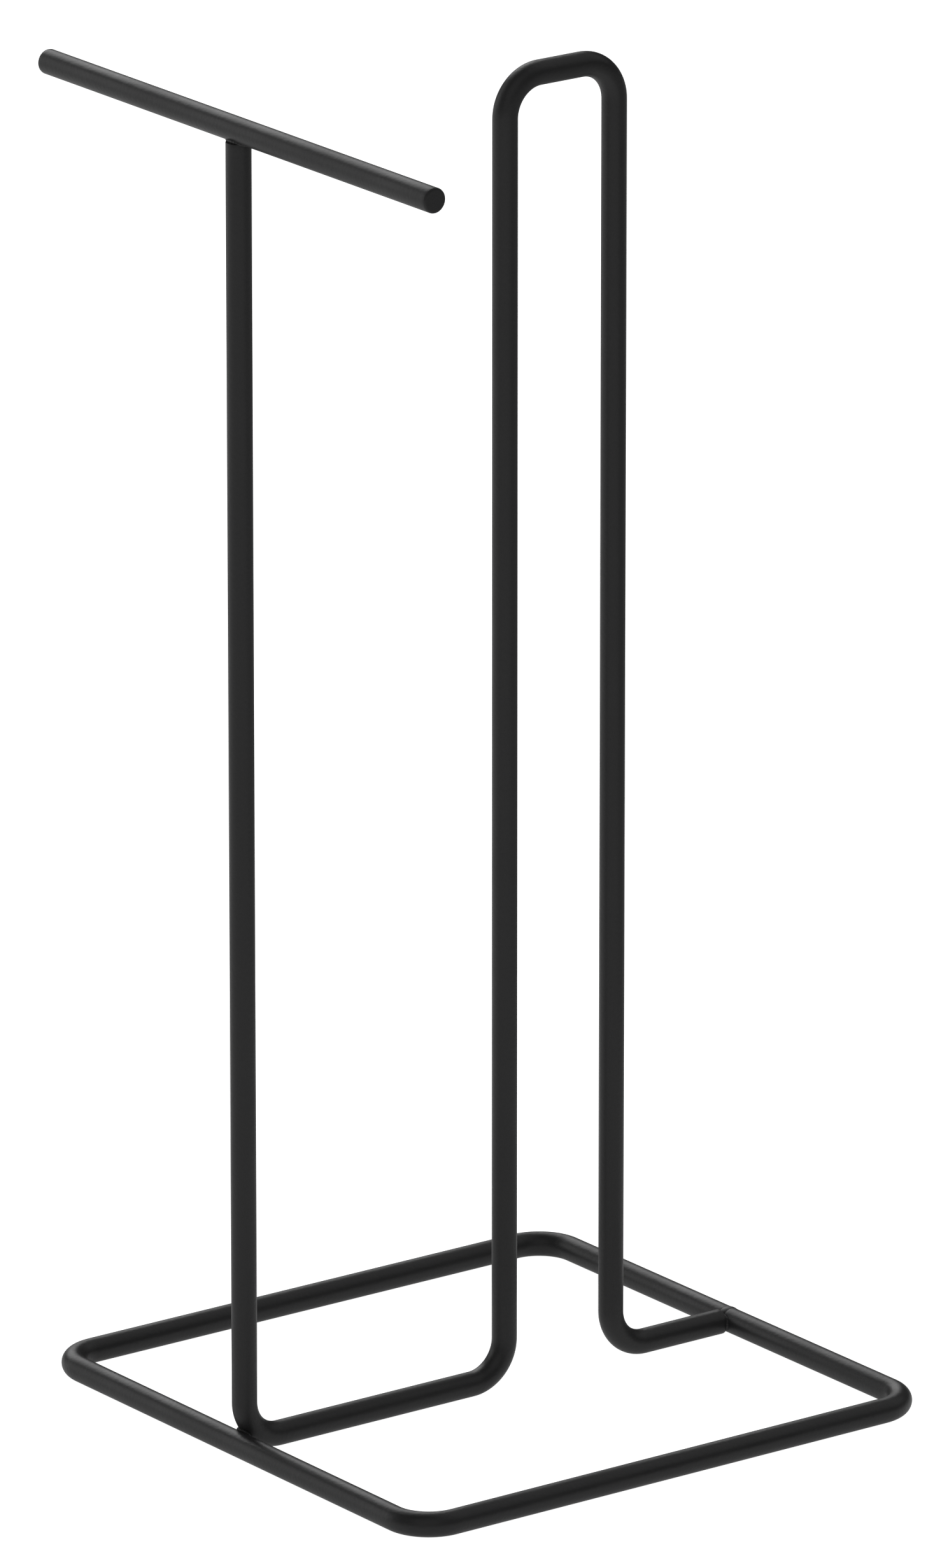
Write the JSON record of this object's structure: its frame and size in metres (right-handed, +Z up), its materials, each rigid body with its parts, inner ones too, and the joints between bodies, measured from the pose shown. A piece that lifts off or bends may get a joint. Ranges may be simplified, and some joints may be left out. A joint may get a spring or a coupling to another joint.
{
  "type": "toilet paper holder",
  "caption": "Free-standing toilet paper holder of black round rod: square floor ring, post with a straight roll bar, and a tall narrow loop behind it for spare rolls.",
  "frame": {"origin": "on the floor at the middle of the square base ring", "axes": "+Z up; X along the roll bar; -Y towards the post and roll bar (the front), +Y towards the spare roll loop and the rear of the ring"},
  "size_m": [0.176, 0.176, 0.377],
  "materials": {
    "black_rod": "satin black powder coat on steel rod",
    "weld_bead": "satin black powder coat over weld metal"
  },
  "bodies": {
    "root": {"base_frame": "black_rod", "base_seam_weld": "weld_bead", "stand_rod": "black_rod", "post_foot_weld": "weld_bead", "tail_weld": "weld_bead", "roll_bar": "black_rod", "roll_bar_weld": "weld_bead"}
  },
  "joints": []
}
